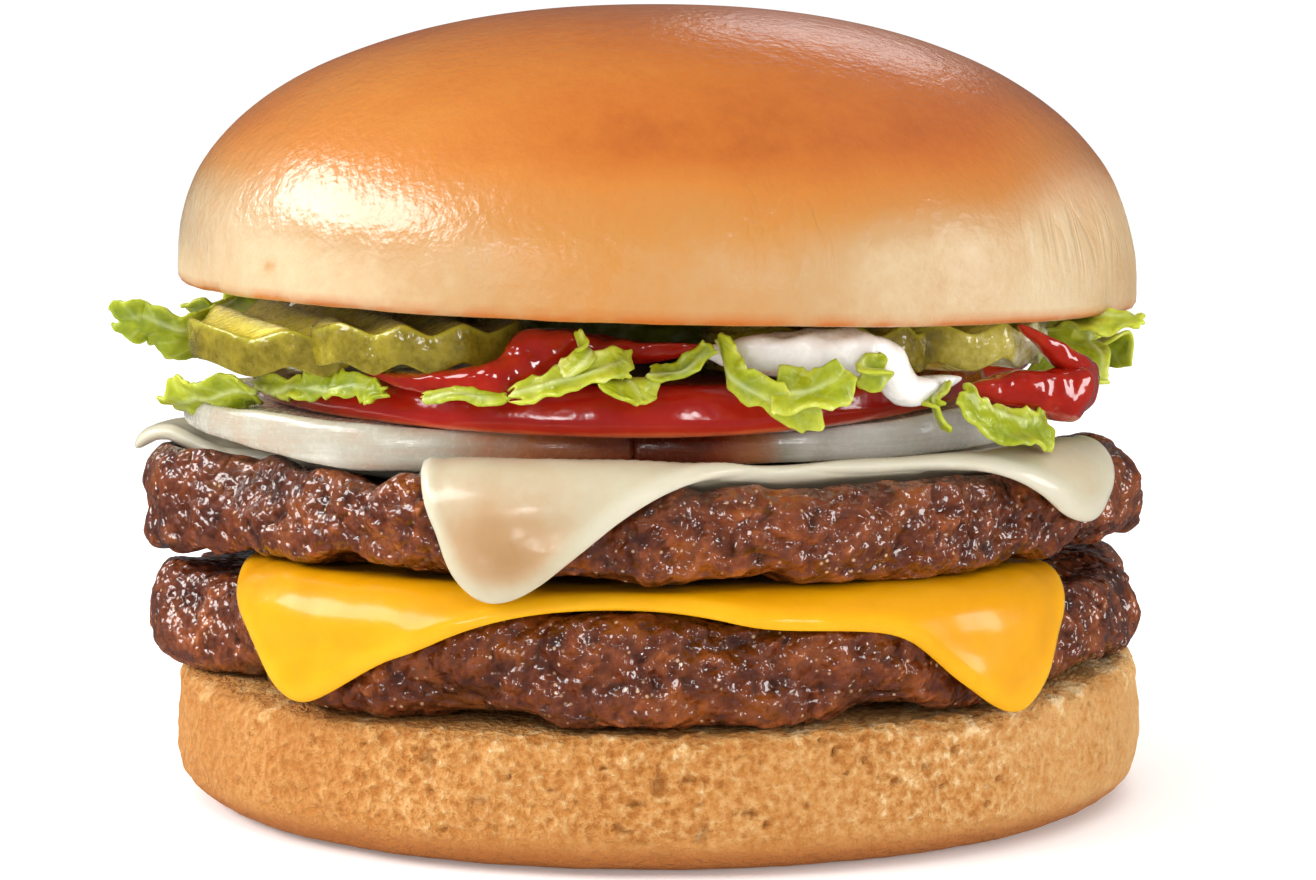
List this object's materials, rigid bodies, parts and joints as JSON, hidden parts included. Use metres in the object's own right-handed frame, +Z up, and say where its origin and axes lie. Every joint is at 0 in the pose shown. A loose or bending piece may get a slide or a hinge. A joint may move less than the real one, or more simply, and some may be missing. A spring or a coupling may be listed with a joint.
{
  "type": "double cheeseburger",
  "caption": "Stacked cheeseburger: glossy bun round craggy beef patties, melted yellow and pale cheese, onion, tomato, crinkle-cut pickles, torn lettuce and sauces.",
  "frame": {"origin": "centre of the heel's flat underside, on the surface that the burger stands on", "axes": "+Z up through the burger; -Y is the front, where most of the fillings show; +X to the right as seen from the front"},
  "size_m": [0.1203, 0.1167, 0.0912],
  "materials": {
    "crown": "glazed baked crust, pale cream near its lower edge",
    "heel": "dry porous bread",
    "meat": "seared craggy beef, glistening with fat",
    "yellow_cheese": "smooth melted cheese",
    "pale_cheese": "smooth melted cheese, a little translucent",
    "onion": "wet translucent rings",
    "tomato": "glossy skin",
    "pickle": "wet dark green skin and yellow-green flesh",
    "lettuce": "crisp veined leaf with a waxy sheen",
    "ketchup": "thick wet sauce",
    "mayonnaise": "thick creamy sauce"
  },
  "bodies": {
    "root": {"heel": "heel", "lower_patty": "meat", "upper_patty": "meat", "onion_left": "onion", "onion_right": "onion", "onion_back": "onion", "tomato": "tomato", "tomato_back": "tomato", "crown": "crown", "pickle_left": "pickle", "pickle_front_left": "pickle", "pickle_right": "pickle", "pickle_front_right": "pickle", "pickle_back_right": "pickle", "pickle_back_left": "pickle", "yellow_cheese": "yellow_cheese", "pale_cheese": "pale_cheese", "mayonnaise": "mayonnaise", "ketchup_front": "ketchup", "ketchup_right": "ketchup", "ketchup_back": "ketchup", "mayonnaise_back": "mayonnaise", "lettuce_left_tip": "lettuce", "lettuce_left_high": "lettuce", "lettuce_left_low": "lettuce", "lettuce_left_frill": "lettuce", "lettuce_front_frill": "lettuce", "lettuce_front_curl": "lettuce", "lettuce_front_flap": "lettuce", "lettuce_front_stem": "lettuce", "lettuce_front_hook": "lettuce", "lettuce_front_fold": "lettuce", "lettuce_front_tuft": "lettuce", "lettuce_right_sprig": "lettuce", "lettuce_right_low": "lettuce", "lettuce_right_fan": "lettuce", "lettuce_right_tip": "lettuce", "lettuce_right_side": "lettuce", "lettuce_right_behind": "lettuce", "lettuce_back_right": "lettuce", "lettuce_back": "lettuce", "lettuce_back_middle": "lettuce", "lettuce_back_left": "lettuce", "lettuce_left_behind": "lettuce", "lettuce_bed": "lettuce"}
  },
  "joints": []
}
